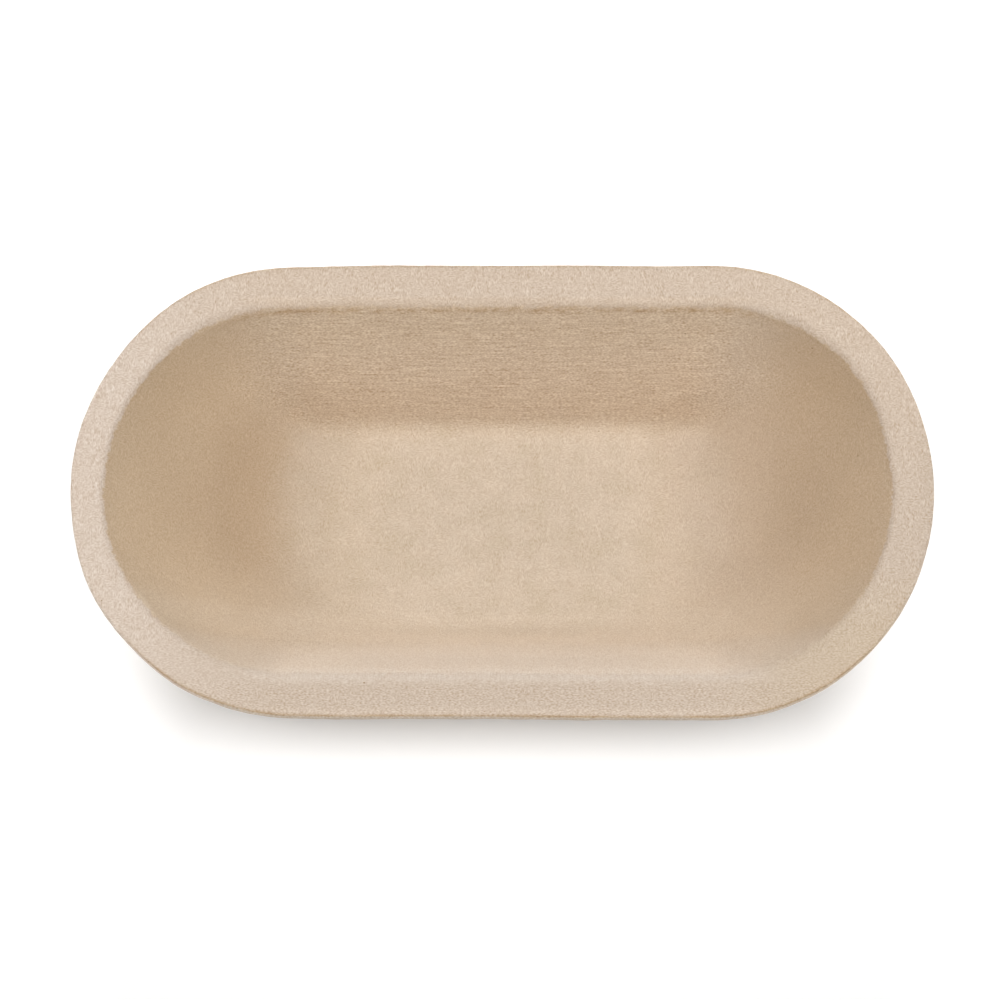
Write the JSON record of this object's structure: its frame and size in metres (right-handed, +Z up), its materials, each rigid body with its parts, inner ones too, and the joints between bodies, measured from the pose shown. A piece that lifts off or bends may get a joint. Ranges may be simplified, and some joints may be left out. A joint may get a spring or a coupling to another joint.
{
  "type": "proofing basket",
  "caption": "Long bread proofing basket with round ends, moulded in one piece from wood pulp, with sloping walls, a flat floor inside, a broad flat rim and a flat base.",
  "frame": {"origin": "middle of the flat base", "axes": "+X along the length, +Y across the width, +Z up out of the mouth"},
  "size_m": [0.28, 0.15, 0.08],
  "materials": {
    "wood_pulp": "matt felted wood fibre"
  },
  "bodies": {
    "root": {"pulp_basket": "wood_pulp"}
  },
  "joints": []
}
